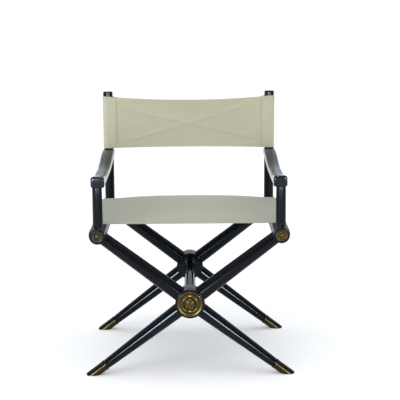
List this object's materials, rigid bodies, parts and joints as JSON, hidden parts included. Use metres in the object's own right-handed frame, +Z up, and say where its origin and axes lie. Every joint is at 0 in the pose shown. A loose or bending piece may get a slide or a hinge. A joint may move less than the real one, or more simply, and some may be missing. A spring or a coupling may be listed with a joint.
{
  "type": "folding chair",
  "caption": "Folding campaign armchair with scissor legs in front and behind, round rails and posts, shaped arms, brass feet and medallions, and a canvas seat and back.",
  "frame": {"origin": "on the floor under the middle of the chair", "axes": "+Z up, -Y to the front, where a sitter's knees are, +X to the viewer's right when facing the front"},
  "size_m": [0.6212, 0.5134, 0.804],
  "materials": {
    "black_lacquer": "ebonised hardwood under glossy black lacquer",
    "brass": "aged, soft satin",
    "steel": "plain, hidden",
    "canvas": "matte natural cotton canvas"
  },
  "bodies": {
    "centre": {"stretcher": "black_lacquer", "centre_bolt_front": "steel", "centre_bolt_back": "steel", "centre_washer_front": "brass", "centre_washer_back": "brass", "centre_medallion_front": "brass", "centre_medallion_back": "brass"},
    "legs_left_feet": {"leg_front_left": "black_lacquer", "leg_back_left": "black_lacquer", "ferrule_front_left": "brass", "ferrule_back_left": "brass"},
    "legs_right_feet": {"leg_front_right": "black_lacquer", "leg_back_right": "black_lacquer", "ferrule_front_right": "brass", "ferrule_back_right": "brass"},
    "left_side": {"side_rail_left": "black_lacquer", "front_post_left": "black_lacquer", "back_post_left": "black_lacquer", "arm_left": "black_lacquer", "rail_bolt_left_front": "steel", "rail_bolt_left_back": "steel", "rail_washer_left_front": "brass", "rail_washer_left_back": "brass", "rail_medallion_left_front": "brass", "rail_medallion_left_back": "brass", "seat_nail_left_1": "brass", "seat_nail_left_2": "brass", "seat_nail_left_3": "brass", "seat_nail_left_4": "brass", "seat_nail_left_5": "brass", "seat_sling": "canvas", "back_sling": "canvas"},
    "right_side": {"side_rail_right": "black_lacquer", "front_post_right": "black_lacquer", "back_post_right": "black_lacquer", "arm_right": "black_lacquer", "rail_bolt_right_front": "steel", "rail_bolt_right_back": "steel", "rail_washer_right_front": "brass", "rail_washer_right_back": "brass", "rail_medallion_right_front": "brass", "rail_medallion_right_back": "brass", "seat_nail_right_1": "brass", "seat_nail_right_2": "brass", "seat_nail_right_3": "brass", "seat_nail_right_4": "brass", "seat_nail_right_5": "brass"}
  },
  "joints": [
    {"name": "fold", "type": "hinge", "parent": "centre", "child": "legs_right_feet", "pos_m": [0, 0, 0.2238], "axis": [0, 1, 0], "range_deg": [0, 19], "deforming": ["seat_sling", "back_sling"]},
    {"name": "other_legs", "type": "hinge", "parent": "centre", "child": "legs_left_feet", "pos_m": [0, 0, 0.2238], "axis": [0, 1, 0], "range_deg": [-19, 0]},
    {"name": "left_rail_pivot", "type": "hinge", "parent": "legs_right_feet", "child": "left_side", "pos_m": [-0.267, 0, 0.4284], "axis": [0, 1, 0], "range_deg": [-19, 0]},
    {"name": "right_rail_pivot", "type": "hinge", "parent": "legs_left_feet", "child": "right_side", "pos_m": [0.267, 0, 0.4284], "axis": [0, 1, 0], "range_deg": [0, 19]}
  ],
  "couplings": [
    {"joint": "other_legs", "follows": "fold", "ratio": -1},
    {"joint": "left_rail_pivot", "follows": "fold", "ratio": -1},
    {"joint": "right_rail_pivot", "follows": "fold", "ratio": 1}
  ]
}
